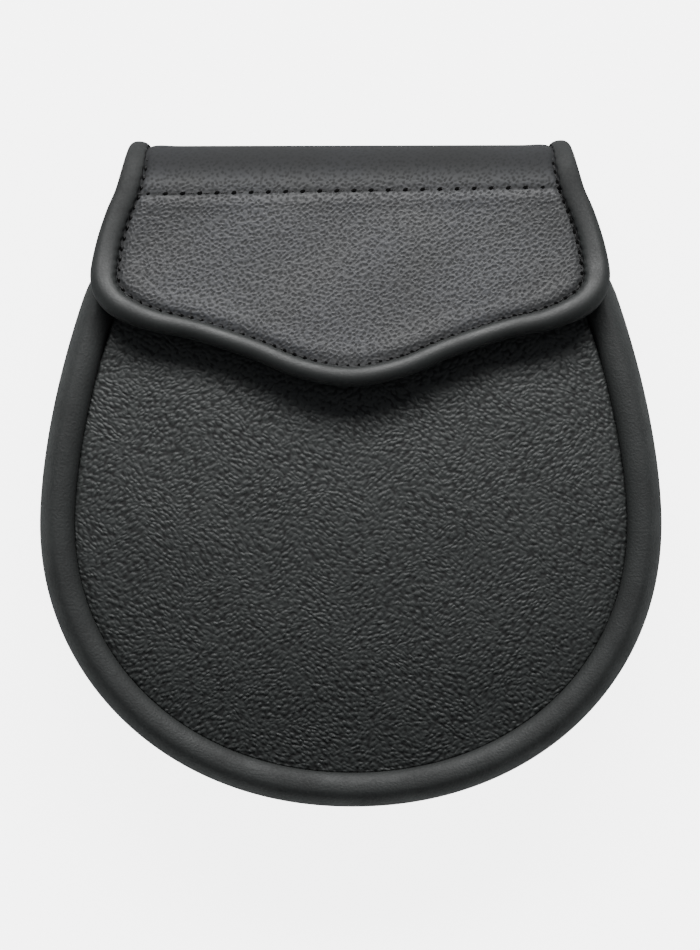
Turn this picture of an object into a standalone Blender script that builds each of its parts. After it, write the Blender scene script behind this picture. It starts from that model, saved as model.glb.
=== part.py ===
"""Sporran pouch in black leather, at its real size in metres.

It lies on its back: +X is right as seen from the front, +Y runs up to the fold at its top,
+Z comes out of its front, and the origin is on the floor under the middle of its box.
"""

import math

import bmesh
import bpy
import numpy as np

MM = 0.001

# Leather thicknesses, and the gap between neighbouring pieces
FLAP_THICKNESS = 1.8 * MM
FRONT_THICKNESS = 1.8 * MM
GUSSET_THICKNESS = 1.8 * MM
BACK_THICKNESS = 2.2 * MM
LOOP_THICKNESS = 1.8 * MM
GAP = 0.3 * MM

# Body outline from the front: a superellipse below the widest line, tapering sides above it
BODY_HALF_WIDTH = 90.0 * MM
BODY_DROP = 82.5 * MM
BOTTOM_ROUNDNESS = 2.08
SIDE_TAPER = 13.2 * MM
SIDE_SPAN = 67.4 * MM
SIDE_POWER = 1.72

# Under the flap the sides draw in a little more, up to the ends of the gusset
NECK_START = 50.0 * MM
NECK_TOP = 86.0 * MM
NECK_SQUEEZE = 6.0 * MM
MOUTH_Y = 80.0 * MM

# The fold stands this far above the widest line, and the binding on it is proud of that
FOLD_RISE = 109.6 * MM
BINDING_RADIUS_AT_FOLD = 2.7 * MM
EAR_TOP = FOLD_RISE - FLAP_THICKNESS / 2 + BINDING_RADIUS_AT_FOLD
WIDEST_Y = (BODY_DROP - EAR_TOP) / 2

# Height of the crease between the front panel and the gusset, which falls off both ways
BELLY_Y = -20.0 * MM
BELLY_SEAM = 35.2 * MM
TOP_FALL = 10.0 * MM
TOP_FALL_POWER = 2.2
BOTTOM_FALL = 2.5 * MM

# The front panel bows out between its seams, less so towards the mouth
FRONT_CROWN = 5.5 * MM
CROWN_POWER = 2.5
CROWN_FADE = 0.5
PANEL_EDGE_SLOPE = math.radians(12.0)

# The gusset's rolled shoulder: its ridge and its seam are measured in from the silhouette
SEAM_INSET = 10.4 * MM
RIDGE_INSET = 5.2 * MM
RIDGE_RISE = 3.5 * MM
SHOULDER_DROP = 7.0 * MM
SIDE_LEAN = 2.2 * MM
MIDDLE_LEAN = 0.3
BACK_CORNER_RADIUS = 3.0 * MM
FRONT_FLANGE = 6.0 * MM
BACK_FLANGE = 7.0 * MM
BACK_PANEL_INSET = 3.4 * MM

# The back panel lies on the floor low down, and gives way over the strap loops
LOOP_STANDOFF = 6.4 * MM
RAMP_LOW = -60.0 * MM
RAMP_HIGH = 25.0 * MM

# Strap loops: two strips on the back, standing off between their sewn ends. The allowance is for
# the slope of those ends.
LOOP_X = 38.0 * MM
LOOP_WIDTH = 20.0 * MM
LOOP_LOW = 12.0 * MM
LOOP_HIGH = 67.0 * MM
LOOP_SEWN = 7.0 * MM
LOOP_BEND = 5.5 * MM
LOOP_SLOPE_ALLOWANCE = 1.02

# The flap's middle line from its lap on the back, over the fold, to its sloping front
LAP_END_Y = 70.0 * MM
LAP_TOP_Y = 87.0 * MM
LAP_HALF_WIDTH = 50.0 * MM
FOLD_PEAK_Z = 18.0 * MM
FLAP_FRONT_Y = 82.0 * MM
FLAP_FRONT_Z = 33.5 * MM
FLAP_SLOPE = math.radians(14.0)
SLOPE_LENGTH = 75.0 * MM
FLAP_CORNER_DROP = 1.5 * MM
CORNER_REACH = 70.0 * MM
DROP_START_Y = 85.0 * MM
DROP_FULL_Y = 60.0 * MM

# How the middle line turns from its lap, over the fold and into its front
LAP_TURN = 4.5 * MM
FRONT_TURN = 8.0 * MM
FOLD_TURN = 0.55

# The flap's bound edge on its front, from the fold to the tip: half width, height, binding radius
FLAP_EDGE = (
    (64.5 * MM, 81.8 * MM, 2.9 * MM),
    (67.4 * MM, 74.3 * MM, 3.0 * MM),
    (69.7 * MM, 66.8 * MM, 3.1 * MM),
    (71.0 * MM, 60.0 * MM, 3.3 * MM),
    (70.9 * MM, 55.5 * MM, 3.7 * MM),
    (69.4 * MM, 51.5 * MM, 3.9 * MM),
    (65.4 * MM, 47.7 * MM, 3.8 * MM),
    (56.5 * MM, 43.8 * MM, 3.3 * MM),
    (44.0 * MM, 40.8 * MM, 3.0 * MM),
    (28.0 * MM, 35.5 * MM, 3.0 * MM),
    (14.0 * MM, 29.8 * MM, 3.0 * MM),
    (0.0 * MM, 27.4 * MM, 3.0 * MM),
)
# Half widths where the binding starts behind the fold, on the fold, and halfway down its front
BINDING_START_HALF_WIDTH = 60.7 * MM
FOLD_HALF_WIDTH = 61.3 * MM
OVER_HALF_WIDTH = 62.3 * MM
BINDING_START = 0.45
# Rows of the table above where the flap's last straight row ends and where its corner turns
FLAP_SHOULDER = 3
FLAP_CORNER = 5

# Press stud between the front panel and the flap's tip
STUD_Y = 38.0 * MM
STUD_RADIUS = 6.0 * MM
STUD_TAPER = 0.85

# Mesh steps
STEPS_SIDE = 14
STEPS_BOTTOM = 16
STEPS_ROLL = 4
STEPS_BACK_CORNER = 2
STEPS_FOLD = 40
STEPS_BEHIND_FOLD = 5
STEPS_OVER_FOLD = 3
STEPS_EDGE_SPAN = 2
STEPS_LAP = 3
CORNER_AT = 0.36
PATH_SAMPLES = 240
BINDING_SIDES = 8
STUD_SIDES = 16
SHARP_ANGLE = math.radians(40.0)
NUDGE = 0.1 * MM


def smoothstep(t):
    t = np.clip(t, 0.0, 1.0)
    return t * t * (3.0 - 2.0 * t)


def half_width(y):
    """Half the body's width at a height on or above its widest line."""
    rise = np.maximum(y - WIDEST_Y, 0.0)
    taper = SIDE_TAPER * (rise / SIDE_SPAN) ** SIDE_POWER
    squeeze = NECK_SQUEEZE * smoothstep((y - NECK_START) / (NECK_TOP - NECK_START))
    return BODY_HALF_WIDTH - taper - squeeze


def silhouette():
    """The body's outline, from the left end of the gusset round the bottom to its right end."""
    side_y = np.linspace(NECK_TOP, WIDEST_Y, PATH_SAMPLES, endpoint=False)
    left = np.column_stack([-half_width(side_y), side_y])
    angle = np.linspace(0.0, math.pi, 2 * PATH_SAMPLES)
    power = 2.0 / BOTTOM_ROUNDNESS
    across = np.sign(np.cos(angle)) * np.abs(np.cos(angle)) ** power
    down = np.abs(np.sin(angle)) ** power
    bottom = np.column_stack([-BODY_HALF_WIDTH * across, WIDEST_Y - BODY_DROP * down])
    return np.vstack([left, bottom, left[::-1] * (-1.0, 1.0)])


def back_height(y):
    """Height of the back panel's outer face above the floor."""
    return LOOP_STANDOFF * smoothstep((y - RAMP_LOW) / (RAMP_HIGH - RAMP_LOW))


def seam_height(y):
    """Height of the crease between the front panel and the gusset."""
    above = np.maximum(y - BELLY_Y, 0.0) / (NECK_TOP - BELLY_Y)
    below = np.maximum(BELLY_Y - y, 0.0) / BODY_DROP
    return BELLY_SEAM - TOP_FALL * above**TOP_FALL_POWER - BOTTOM_FALL * below**2


def front_height(x, y):
    """Height of the front panel's outer face."""
    down = np.maximum(WIDEST_Y - y, 0.0) / (BODY_DROP - SEAM_INSET)
    across = np.abs(x) / (half_width(np.maximum(y, WIDEST_Y)) - SEAM_INSET)
    reach = (across**BOTTOM_ROUNDNESS + down**BOTTOM_ROUNDNESS) ** (1.0 / BOTTOM_ROUNDNESS)
    upward = np.maximum(y - WIDEST_Y, 0.0) / (MOUTH_Y - WIDEST_Y)
    crown = FRONT_CROWN * (1.0 - CROWN_FADE * upward**2)
    return seam_height(y) + crown * (1.0 - np.minimum(reach, 1.0) ** CROWN_POWER)


def lengths(path):
    """The distance of each point of a path from its start, as a share of the whole."""
    steps = np.linalg.norm(np.diff(path, axis=0), axis=1)
    travelled = np.concatenate([[0.0], np.cumsum(steps)])
    return travelled / travelled[-1]


def points_at(path, shares):
    """The points at the given shares of a path's length."""
    travelled = lengths(path)
    return np.column_stack([np.interp(shares, travelled, column) for column in path.T])


def inward_normals(path):
    """Unit normals on the inner side of a path that runs down its left side."""
    tangent = np.gradient(path, axis=0)
    tangent /= np.linalg.norm(tangent, axis=1)[:, None]
    return np.column_stack([-tangent[:, 1], tangent[:, 0]])


def stations():
    """Places round the silhouette that the gusset and both panels share."""
    path = silhouette()
    normals = inward_normals(path)
    on_left = slice(0, PATH_SAMPLES)
    mouth = np.interp(-MOUTH_Y, -path[on_left, 1], lengths(path)[on_left])
    side = np.linspace(mouth, CORNER_AT, STEPS_SIDE + 1)
    bottom = np.linspace(CORNER_AT, 1.0 - CORNER_AT, STEPS_BOTTOM + 1)
    shares = np.concatenate([[0.0], side, bottom[1:-1], 1.0 - side[::-1], [1.0]])
    found = points_at(np.hstack([path, normals * MM]), shares)
    return points_at(path, shares), found[:, 2:] / np.linalg.norm(found[:, 2:], axis=1)[:, None]


def coons_patch(left, bottom, right, top):
    """A grid of points inside four boundary curves, as rows from the bottom to the top."""
    u = np.linspace(0.0, 1.0, len(bottom))[None, :, None]
    v = np.linspace(0.0, 1.0, len(left))[:, None, None]
    rails = (1.0 - u) * left[:, None] + u * right[:, None]
    ribs = (1.0 - v) * bottom[None] + v * top[None]
    low = (1.0 - u) * bottom[0] + u * bottom[-1]
    high = (1.0 - u) * top[0] + u * top[-1]
    return rails + ribs - (1.0 - v) * low - v * high


def panel_grid(inset, first):
    """A flat grid inside the silhouette, set in from it, whose top is at the given station."""
    points, normals = stations()
    edge = (points + normals * inset)[first : len(points) - first]
    sides = len(edge) // 2 - STEPS_BOTTOM // 2
    left = edge[: sides + 1][::-1]
    bottom = edge[sides : sides + STEPS_BOTTOM + 1]
    right = edge[sides + STEPS_BOTTOM :]
    top = np.linspace(left[-1], right[-1], STEPS_BOTTOM + 1)
    return coons_patch(left, bottom, right, top)


def leather(name, colour, roughness, metallic=0.0):
    material = bpy.data.materials.new(name)
    material.use_nodes = True
    shader = material.node_tree.nodes["Principled BSDF"]
    shader.inputs["Base Color"].default_value = (*colour, 1.0)
    shader.inputs["Roughness"].default_value = roughness
    shader.inputs["Metallic"].default_value = metallic
    return material


def add_object(name, mesh, material, frame):
    mesh.materials.append(material)
    thing = bpy.data.objects.new(name, mesh)
    bpy.data.collections["sporran_pouch"].objects.link(thing)
    thing.parent = frame
    return thing


def lofted_mesh(name, rows, closed=False):
    """A mesh through rows of points. Closed rows make a tube, which gets a cap at each end."""
    mesh = bpy.data.meshes.new(name)
    work = bmesh.new()
    grid = [[work.verts.new(point) for point in row] for row in rows]
    across = len(rows[0])
    for low, high in zip(grid, grid[1:]):
        for column in range(across if closed else across - 1):
            after = (column + 1) % across
            work.faces.new((low[column], low[after], high[after], high[column]))
    if closed:
        work.faces.new(grid[0])
        work.faces.new(grid[-1])
        bmesh.ops.recalc_face_normals(work, faces=work.faces)
    work.to_mesh(mesh)
    work.free()
    mesh.shade_smooth()
    mesh.set_sharp_from_angle(angle=SHARP_ANGLE)
    return mesh


def thicken(thing, thickness):
    """Gives a sheet its leather's thickness, behind the face that its normals show."""
    solidify = thing.modifiers.new("leather", "SOLIDIFY")
    solidify.thickness = thickness
    solidify.offset = -1.0
    solidify.use_even_offset = True


def with_height(grid, height):
    return np.dstack([grid, height])


def add_front_panel(material, frame):
    """The pebbled front, set inside the gusset's roll and lying on its flange."""
    grid = panel_grid(SEAM_INSET + GAP, 1)
    rows = with_height(grid, front_height(grid[..., 0], grid[..., 1]))
    thing = add_object("front_panel", lofted_mesh("front_panel", rows), material, frame)
    thicken(thing, FRONT_THICKNESS)


def add_back_panel(material, frame):
    """The flat back, whose outer face looks down at the floor."""
    grid = panel_grid(BACK_PANEL_INSET, 0)[:, ::-1]
    rows = with_height(grid, back_height(grid[..., 1]))
    thing = add_object("back_panel", lofted_mesh("back_panel", rows), material, frame)
    thicken(thing, BACK_THICKNESS)


def quarter(centre_in, centre_z, half_in, half_z, start, steps):
    """Steps along a quarter of an ellipse in a gusset section, as (inset, height) pairs."""
    angles = [start + math.pi / 2 * step / steps for step in range(steps + 1)]
    return [(centre_in + half_in * math.cos(a), centre_z + half_z * math.sin(a)) for a in angles]


def gusset_section(point, normal):
    """The gusset's outer face at one station, from its front flange round to its back one."""

    def at(inset, height):
        return (*(point + normal * inset), height)

    flange_end = point + normal * (SEAM_INSET + FRONT_FLANGE)
    seam_point = point + normal * SEAM_INSET
    below = FRONT_THICKNESS / math.cos(PANEL_EDGE_SLOPE) + GAP
    seam = float(seam_height(seam_point[1]))
    back = float(back_height(point[1])) + BACK_THICKNESS + GAP
    corner_in = SIDE_LEAN + BACK_CORNER_RADIUS
    back_end = point + normal * (corner_in + BACK_FLANGE)

    rise = RIDGE_RISE
    shoulder = seam - SHOULDER_DROP
    inner_width = SEAM_INSET - RIDGE_INSET
    inner = quarter(RIDGE_INSET, seam, inner_width, rise, 0.0, STEPS_ROLL)
    outer = quarter(RIDGE_INSET, shoulder, RIDGE_INSET, SHOULDER_DROP + rise, math.pi / 2, STEPS_ROLL)
    foot = back + BACK_CORNER_RADIUS
    wall = [(SIDE_LEAN * MIDDLE_LEAN, (shoulder + foot) / 2)]
    radius = BACK_CORNER_RADIUS
    corner = quarter(corner_in, foot, radius, radius, math.pi, STEPS_BACK_CORNER)

    row = [(*flange_end, float(front_height(*flange_end)) - below)]
    row.append((*seam_point, float(front_height(*seam_point)) - below))
    row += [at(*place) for place in inner + outer[1:] + wall + corner]
    row.append((*back_end, float(back_height(back_end[1])) + BACK_THICKNESS + GAP))
    return row


def add_gusset(material, frame):
    """The smooth wall round the sides and bottom, with the fat roll at its front."""
    rows = [gusset_section(point, normal) for point, normal in zip(*stations())]
    thing = add_object("gusset", lofted_mesh("gusset", rows), material, frame)
    thicken(thing, GUSSET_THICKNESS)


def bezier(start, first, second, end, steps):
    t = np.linspace(0.0, 1.0, steps + 1)[:, None]
    start, first, second, end = map(np.array, (start, first, second, end))
    near = (1.0 - t) ** 3 * start + 3.0 * (1.0 - t) ** 2 * t * first
    return near + 3.0 * (1.0 - t) * t**2 * second + t**3 * end


def flap_profile():
    """The flap's middle line as (distance along it, y, z) rows, from its lap to past its tip."""
    lap_z = LOOP_STANDOFF - GAP - FLAP_THICKNESS / 2
    peak = (WIDEST_Y + FOLD_RISE - FLAP_THICKNESS / 2, FOLD_PEAK_Z)
    forward = np.array([-math.cos(FLAP_SLOPE), math.sin(FLAP_SLOPE)])
    front = np.array([FLAP_FRONT_Y, FLAP_FRONT_Z])
    lap_top = (LAP_TOP_Y, lap_z)
    rear_depth = (peak[1] - lap_z) * FOLD_TURN
    front_depth = (FLAP_FRONT_Z - peak[1]) * FOLD_TURN
    turning = (LAP_TOP_Y + LAP_TURN, lap_z)
    arriving = front - forward * FRONT_TURN
    rear = bezier(lap_top, turning, (peak[0], peak[1] - rear_depth), peak, STEPS_FOLD)
    over = bezier(peak, (peak[0], peak[1] + front_depth), arriving, front, STEPS_FOLD)
    slope = front + forward * np.linspace(0.0, SLOPE_LENGTH, STEPS_FOLD)[1:, None]
    line = np.vstack([[(LAP_END_Y, lap_z)], rear, over[1:], slope])
    steps = np.linalg.norm(np.diff(line, axis=0), axis=1)
    return np.column_stack([np.concatenate([[0.0], np.cumsum(steps)]), line])


def along_at_front(profile, y):
    """Distance along the flap of a height on its sloping front."""
    slope = profile[2 * STEPS_FOLD + 1 :]
    return float(np.interp(-y, -slope[:, 1], slope[:, 0]))


def flap_point(profile, across, along):
    """A point of the flap's flat pattern, in its place in space."""
    y = np.interp(along, profile[:, 0], profile[:, 1])
    z = np.interp(along, profile[:, 0], profile[:, 2])
    front = smoothstep((DROP_START_Y - y) / (DROP_START_Y - DROP_FULL_Y))
    on_front = smoothstep((z - FOLD_PEAK_Z) / (FLAP_FRONT_Z - FOLD_PEAK_Z))
    drop = FLAP_CORNER_DROP * np.abs(across / CORNER_REACH) ** 3 * front * on_front
    return np.stack([across, y, z - drop], axis=-1)


def smooth_curve(points, steps):
    """A Catmull-Rom curve through points, with the given number of steps after each of them."""
    points = np.array(points)
    first, last = 2.0 * points[0] - points[1], 2.0 * points[-1] - points[-2]
    padded = np.vstack([first, points, last])
    out = []
    for a, b, c, d, count in zip(padded, padded[1:], padded[2:], padded[3:], steps):
        for t in np.linspace(0.0, 1.0, count, endpoint=False):
            straight = b + 0.5 * t * (c - a)
            bend = t**2 * (a - 2.5 * b + 2.0 * c - 0.5 * d)
            out.append(straight + bend + t**3 * (1.5 * (b - c) + 0.5 * (d - a)))
    return np.array(out + [points[-1]])


def bound_edge(profile):
    """The flap's bound edge in its flat pattern: (half width, distance along, radius) rows."""
    lap_top = profile[1, 0]
    peak = profile[1 + STEPS_FOLD, 0]
    start = lap_top + (peak - lap_top) * BINDING_START
    halfway = (peak + profile[1 + 2 * STEPS_FOLD, 0]) / 2
    rows = [
        (BINDING_START_HALF_WIDTH, start, BINDING_RADIUS_AT_FOLD),
        (FOLD_HALF_WIDTH, peak, BINDING_RADIUS_AT_FOLD),
        (OVER_HALF_WIDTH, halfway, BINDING_RADIUS_AT_FOLD),
    ]
    rows += [(wide, along_at_front(profile, y), radius) for wide, y, radius in FLAP_EDGE]
    mirrored = [(-wide, along, radius) for wide, along, radius in rows[-2::-1]]
    over = [STEPS_OVER_FOLD, STEPS_OVER_FOLD]
    steps = [STEPS_BEHIND_FOLD] + over + [STEPS_EDGE_SPAN] * (len(FLAP_EDGE) - 1)
    return smooth_curve(rows + mirrored, steps + steps[::-1])


def flap_pattern(profile):
    """The flap's grid in its flat pattern: straight rows down to its corners, then a patch."""
    edge = bound_edge(profile)[:, :2]
    shoulder = STEPS_BEHIND_FOLD + 2 * STEPS_OVER_FOLD + FLAP_SHOULDER * STEPS_EDGE_SPAN
    corner = shoulder + (FLAP_CORNER - FLAP_SHOULDER) * STEPS_EDGE_SPAN
    bottom = edge[corner : len(edge) - corner][::-1]
    lap_steps = np.linspace(0.0, 1.0, STEPS_LAP, endpoint=False)[:, None]
    lap = (1.0 - lap_steps) * (LAP_HALF_WIDTH, 0.0) + lap_steps * edge[0]
    share = np.linspace(-1.0, 1.0, len(bottom))[:, None]
    rows = [
        np.hstack([share * wide, np.full_like(share, along)])
        for wide, along in np.vstack([lap, edge[: shoulder + 1]])
    ]
    right = edge[shoulder : corner + 1][::-1]
    patch = coons_patch(right * (-1.0, 1.0), bottom, right, rows[-1])
    return np.array(rows[:-1] + list(patch[::-1]))


def add_flap(material, frame, profile):
    """The pebbled flap: lapped down the back, folded over the top and sloping out at its tip."""
    pattern = flap_pattern(profile)
    rows = flap_point(profile, pattern[..., 0], pattern[..., 1])
    thing = add_object("flap", lofted_mesh("flap", rows[:, ::-1]), material, frame)
    thicken(thing, FLAP_THICKNESS)
    thing.modifiers["leather"].offset = 0.0


def binding_section(radius):
    """The binding's round section with a slot for the flap's edge: (outward, normal) pairs."""
    slot = FLAP_THICKNESS / 2 + GAP
    lip = math.asin(slot / radius)
    sweep = 2.0 * (math.pi - lip)
    angles = [lip - math.pi + sweep * step / BINDING_SIDES for step in range(BINDING_SIDES + 1)]
    ring = [(radius * math.cos(a), radius * math.sin(a)) for a in angles]
    return ring + [(GAP, slot), (GAP, -slot)]


def add_binding(material, frame, profile):
    """The smooth roll round the flap's free edge, from ear to ear."""
    edge = bound_edge(profile)
    centre = flap_point(profile, edge[:, 0], edge[:, 1])
    across = flap_point(profile, edge[:, 0] + NUDGE, edge[:, 1]) - centre
    along = flap_point(profile, edge[:, 0], edge[:, 1] + NUDGE) - centre
    tangent = np.gradient(centre, axis=0)
    normal = np.cross(along, across)
    normal /= np.linalg.norm(normal, axis=1)[:, None]
    outward = np.cross(normal, tangent)
    outward /= np.linalg.norm(outward, axis=1)[:, None]
    rows = []
    for place, out, up, radius in zip(centre, outward, normal, edge[:, 2]):
        rows.append([place + out * a + up * b for a, b in binding_section(radius)])
    add_object("flap_binding", lofted_mesh("flap_binding", rows, closed=True), material, frame)


def loop_mesh():
    """One strap loop's outer face: a strip that leaves the back panel and returns to it."""

    def sewn(y):
        return float(back_height(y)) - GAP - LOOP_THICKNESS * LOOP_SLOPE_ALLOWANCE

    low, high = LOOP_LOW, LOOP_HIGH
    line = [
        (low, sewn(low)),
        (low + LOOP_SEWN, sewn(low + LOOP_SEWN)),
        (low + LOOP_SEWN + LOOP_BEND, 0.0),
        (high - LOOP_SEWN - LOOP_BEND, 0.0),
        (high - LOOP_SEWN, sewn(high - LOOP_SEWN)),
        (high, sewn(high)),
    ]
    half = LOOP_WIDTH / 2
    return lofted_mesh("strap_loop", [[(half, y, z), (-half, y, z)] for y, z in line])


def add_strap_loops(material, frame):
    """Two loops on the back, side by side, for the strap to pass through."""
    mesh = loop_mesh()
    for name, x in (("strap_loop_left", -LOOP_X), ("strap_loop_right", LOOP_X)):
        thing = bpy.data.objects.new(name, mesh)
        bpy.data.collections["sporran_pouch"].objects.link(thing)
        thing.parent = frame
        thing.location.x = x
        thicken(thing, LOOP_THICKNESS)
    mesh.materials.append(material)


def add_press_stud(material, frame, profile):
    """The stud that holds the flap's tip, from the front panel up to the flap's underside."""
    mesh = bpy.data.meshes.new("press_stud")
    work = bmesh.new()
    bmesh.ops.create_cone(
        work,
        cap_ends=True,
        segments=STUD_SIDES,
        radius1=STUD_RADIUS,
        radius2=STUD_RADIUS * STUD_TAPER,
        depth=1.0,
    )
    under_flap = FLAP_THICKNESS / 2 / math.cos(FLAP_SLOPE) + GAP
    for vert in work.verts:
        y = STUD_Y + vert.co.y
        if vert.co.z > 0.0:
            vert.co.z = flap_point(profile, vert.co.x, along_at_front(profile, y))[2] - under_flap
        else:
            vert.co.z = float(front_height(vert.co.x, y)) + GAP
    work.to_mesh(mesh)
    work.free()
    stud = add_object("press_stud", mesh, material, frame)
    stud.location.y = STUD_Y


def main():
    for thing in list(bpy.data.objects):
        bpy.data.objects.remove(thing)
    pouch = bpy.data.collections.new("sporran_pouch")
    bpy.context.scene.collection.children.link(pouch)
    frame = bpy.data.objects.new("pouch_frame", None)
    pouch.objects.link(frame)

    profile = flap_profile()
    add_back_panel(leather("back_leather", (0.022, 0.023, 0.024), 0.6), frame)
    add_gusset(leather("smooth_leather", (0.024, 0.024, 0.025), 0.45), frame)
    add_front_panel(leather("front_pebbled_leather", (0.026, 0.028, 0.029), 0.5), frame)
    add_flap(leather("flap_pebbled_leather", (0.036, 0.038, 0.040), 0.5), frame, profile)
    add_binding(leather("binding_leather", (0.030, 0.032, 0.034), 0.4), frame, profile)
    add_strap_loops(leather("loop_leather", (0.022, 0.023, 0.024), 0.55), frame)
    add_press_stud(leather("stud_metal", (0.30, 0.29, 0.27), 0.35, 1.0), frame, profile)


main()
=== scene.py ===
import math

import bpy
import numpy as np
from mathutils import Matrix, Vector


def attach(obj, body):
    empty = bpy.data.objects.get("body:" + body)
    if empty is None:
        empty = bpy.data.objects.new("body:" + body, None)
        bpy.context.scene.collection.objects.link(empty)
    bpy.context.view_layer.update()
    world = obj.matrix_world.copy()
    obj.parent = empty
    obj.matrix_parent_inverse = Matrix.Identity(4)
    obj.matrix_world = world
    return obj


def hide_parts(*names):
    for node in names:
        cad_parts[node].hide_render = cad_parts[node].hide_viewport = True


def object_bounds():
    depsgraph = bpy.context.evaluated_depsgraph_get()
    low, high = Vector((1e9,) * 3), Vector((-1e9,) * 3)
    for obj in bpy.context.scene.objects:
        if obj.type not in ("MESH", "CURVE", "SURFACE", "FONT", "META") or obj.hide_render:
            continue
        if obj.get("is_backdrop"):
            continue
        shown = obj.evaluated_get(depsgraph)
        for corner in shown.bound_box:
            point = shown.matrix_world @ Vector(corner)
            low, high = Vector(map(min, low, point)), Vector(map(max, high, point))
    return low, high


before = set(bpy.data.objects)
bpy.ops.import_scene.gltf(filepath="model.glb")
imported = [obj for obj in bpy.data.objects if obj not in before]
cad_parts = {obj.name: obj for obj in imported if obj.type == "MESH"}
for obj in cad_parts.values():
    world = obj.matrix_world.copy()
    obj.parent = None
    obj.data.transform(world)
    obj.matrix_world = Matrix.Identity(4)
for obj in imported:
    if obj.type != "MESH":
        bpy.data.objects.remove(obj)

CAD_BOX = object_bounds()
MM = 0.001
BODY = "root"

# Leather thicknesses and the gap between pieces, as in the frame
FLAP_THICKNESS = 1.8 * MM
FRONT_THICKNESS = 1.8 * MM
GUSSET_THICKNESS = 1.8 * MM
BACK_THICKNESS = 2.2 * MM
LOOP_THICKNESS = 1.8 * MM
GAP = 0.3 * MM

# Body outline from the front
BODY_HALF_WIDTH = 90.0 * MM
BODY_DROP = 82.5 * MM
BOTTOM_ROUNDNESS = 2.08
SIDE_TAPER = 13.2 * MM
SIDE_SPAN = 67.4 * MM
SIDE_POWER = 1.72
NECK_START = 50.0 * MM
NECK_TOP = 86.0 * MM
NECK_SQUEEZE = 6.0 * MM
MOUTH_Y = 80.0 * MM
BOTTOM_LEAN = 0.55 * MM
FOLD_RISE = 109.6 * MM
BINDING_RADIUS_AT_FOLD = 2.7 * MM
EAR_TOP = FOLD_RISE - FLAP_THICKNESS / 2 + BINDING_RADIUS_AT_FOLD
WIDEST_Y = (BODY_DROP - EAR_TOP) / 2

# Crease between front panel and gusset, and the front panel's crown
BELLY_Y = -20.0 * MM
BELLY_SEAM = 35.2 * MM
TOP_FALL = 10.0 * MM
TOP_FALL_POWER = 2.2
BOTTOM_FALL = 2.5 * MM
FRONT_CROWN = 5.5 * MM
CROWN_POWER = 2.5
CROWN_FADE = 0.5

# The gusset's rolled shoulder and its flanges
SEAM_INSET = 10.4 * MM
RIDGE_INSET = 5.2 * MM
RIDGE_RISE = 3.5 * MM
SHOULDER_DROP = 7.0 * MM
SIDE_LEAN = 2.2 * MM
BACK_CORNER_RADIUS = 3.0 * MM
FRONT_FLANGE = 6.0 * MM
BACK_FLANGE = 7.0 * MM
BACK_PANEL_INSET = 3.4 * MM
FRONT_EDGE_SLOPE = math.radians(12.0)
WALL_LEAN_POWER = 1.3
WALL_BULGE = 0.2 * MM
WALL_SWELL = (0.35 * MM, 48.0 * MM, 1.3)

# The front panel: where it ends, its edge turned into the crease, its slow swells
FRONT_TOP_Y = 75.0 * MM
CREASE_GAP = 0.05 * MM
CREASE_WIDTH = 3.2 * MM
CREASE_DEPTH = 0.45 * MM
CREASE_LOW_Y = -80.0 * MM
CREASE_FADE = 40.0 * MM
CUT_EDGE = 1.5 * MM
CUT_EDGE_INSET = 0.3 * MM
FRONT_SWELLS = ((0.16 * MM, 62.0 * MM, 0.7), (0.05 * MM, 21.0 * MM, 2.1))

# The back panel's edge and the ditch under its stitches
BACK_EDGE_BAND = 8.0 * MM
BACK_EDGE_ROUND = 0.5 * MM
BACK_DITCH_DEPTH = 0.28 * MM
BACK_DITCH_WIDTH = 0.8 * MM

# The back panel's rise over the strap loops, and the loops
LOOP_STANDOFF = 6.4 * MM
RAMP_LOW = -60.0 * MM
RAMP_HIGH = 25.0 * MM
LOOP_X = 38.0 * MM
LOOP_WIDTH = 20.0 * MM
LOOP_LOW = 12.0 * MM
LOOP_HIGH = 67.0 * MM
LOOP_SEWN = 7.0 * MM
LOOP_BEND = 5.5 * MM
LOOP_ROUNDING = 2.2 * MM
LOOP_EDGE = 0.5 * MM

# The flap's middle line
LAP_END_Y = 70.0 * MM
LAP_TOP_Y = 87.0 * MM
LAP_HALF_WIDTH = 50.0 * MM
FOLD_PEAK_Z = 18.0 * MM
FLAP_FRONT_Y = 82.0 * MM
FLAP_FRONT_Z = 33.5 * MM
FLAP_SLOPE = math.radians(14.0)
LAP_TURN = 4.5 * MM
FRONT_TURN = 8.0 * MM
FRONT_RUN = 75.0 * MM
FOLD_FULLNESS = 0.55
FLAP_CORNER_DROP = 1.5 * MM
CORNER_REACH = 70.0 * MM
DROP_START_Y = 85.0 * MM
DROP_FULL_Y = 60.0 * MM

# The flap's bound edge on its front: half width, height, binding radius
FLAP_EDGE = (
    (64.5 * MM, 81.8 * MM, 2.9 * MM),
    (67.4 * MM, 74.3 * MM, 3.0 * MM),
    (69.7 * MM, 66.8 * MM, 3.1 * MM),
    (71.0 * MM, 60.0 * MM, 3.3 * MM),
    (70.9 * MM, 55.5 * MM, 3.7 * MM),
    (69.4 * MM, 51.5 * MM, 3.9 * MM),
    (65.4 * MM, 47.7 * MM, 3.8 * MM),
    (56.5 * MM, 43.8 * MM, 3.3 * MM),
    (44.0 * MM, 40.8 * MM, 3.0 * MM),
    (28.0 * MM, 35.5 * MM, 3.0 * MM),
    (14.0 * MM, 29.8 * MM, 3.0 * MM),
    (0.0 * MM, 27.4 * MM, 3.0 * MM),
)
BINDING_START_HALF_WIDTH = 60.7 * MM
FOLD_HALF_WIDTH = 61.3 * MM
OVER_HALF_WIDTH = 62.3 * MM
BINDING_START = 0.45
BINDING_LAP = 0.92
BINDING_HEIGHT = 0.95
BINDING_FLATTENED = 0.06
BINDING_SQUARENESS = 0.84
LIP_START = 2.2
STITCH_PINCH = 0.10
FLAP_SHOULDER = 3
FLAP_CORNER = 5

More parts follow.
